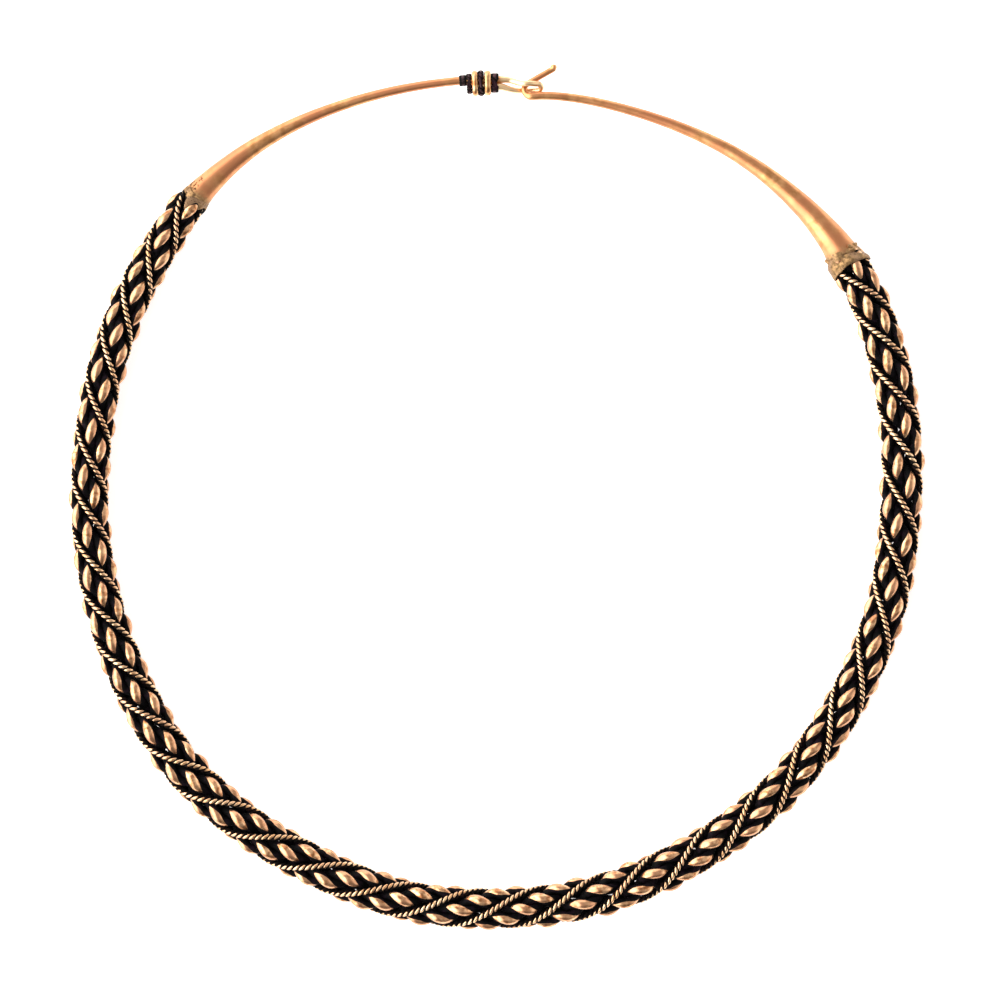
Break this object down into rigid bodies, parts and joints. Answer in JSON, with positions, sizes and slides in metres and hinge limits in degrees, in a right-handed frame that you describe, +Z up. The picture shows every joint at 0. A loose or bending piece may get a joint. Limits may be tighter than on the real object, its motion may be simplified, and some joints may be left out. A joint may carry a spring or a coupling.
{
  "type": "twisted bronze torc",
  "caption": "Rigid neck ring of twisted bronze strands with fine ropes in their grooves, plain tapering arms, and a hook that passes through a bound eye.",
  "frame": {"origin": "under the middle of the ring's box, on the surface that it lies on", "axes": "+Z up through the flat ring, +Y towards the clasp, +X towards the arm with the hook"},
  "size_m": [0.1504, 0.1518, 0.0083],
  "materials": {
    "wire_bronze": "hammered and drawn bronze wire, crowns rubbed bright, dark patina between them",
    "rope_bronze": "fine twisted bronze wire, bright on each turn, dark patina between",
    "arm_bronze": "smooth orange-brown bronze with small pits, grey-brown solder at the thick ends",
    "dark_binding": "twisted wire, nearly black patina",
    "bright_binding": "plain bronze wire, pale and rubbed"
  },
  "bodies": {
    "root": {"strand_1": "wire_bronze", "strand_2": "wire_bronze", "strand_3": "wire_bronze", "groove_rope_1": "rope_bronze", "groove_rope_2": "rope_bronze", "groove_rope_3": "rope_bronze", "left_arm_with_eye": "arm_bronze", "right_arm_with_hook": "arm_bronze", "binding_rope_1": "dark_binding", "binding_rope_2": "dark_binding", "binding_rope_3": "dark_binding", "binding_rope_4": "dark_binding", "binding_wire_1": "bright_binding", "binding_wire_2": "bright_binding"}
  },
  "joints": []
}
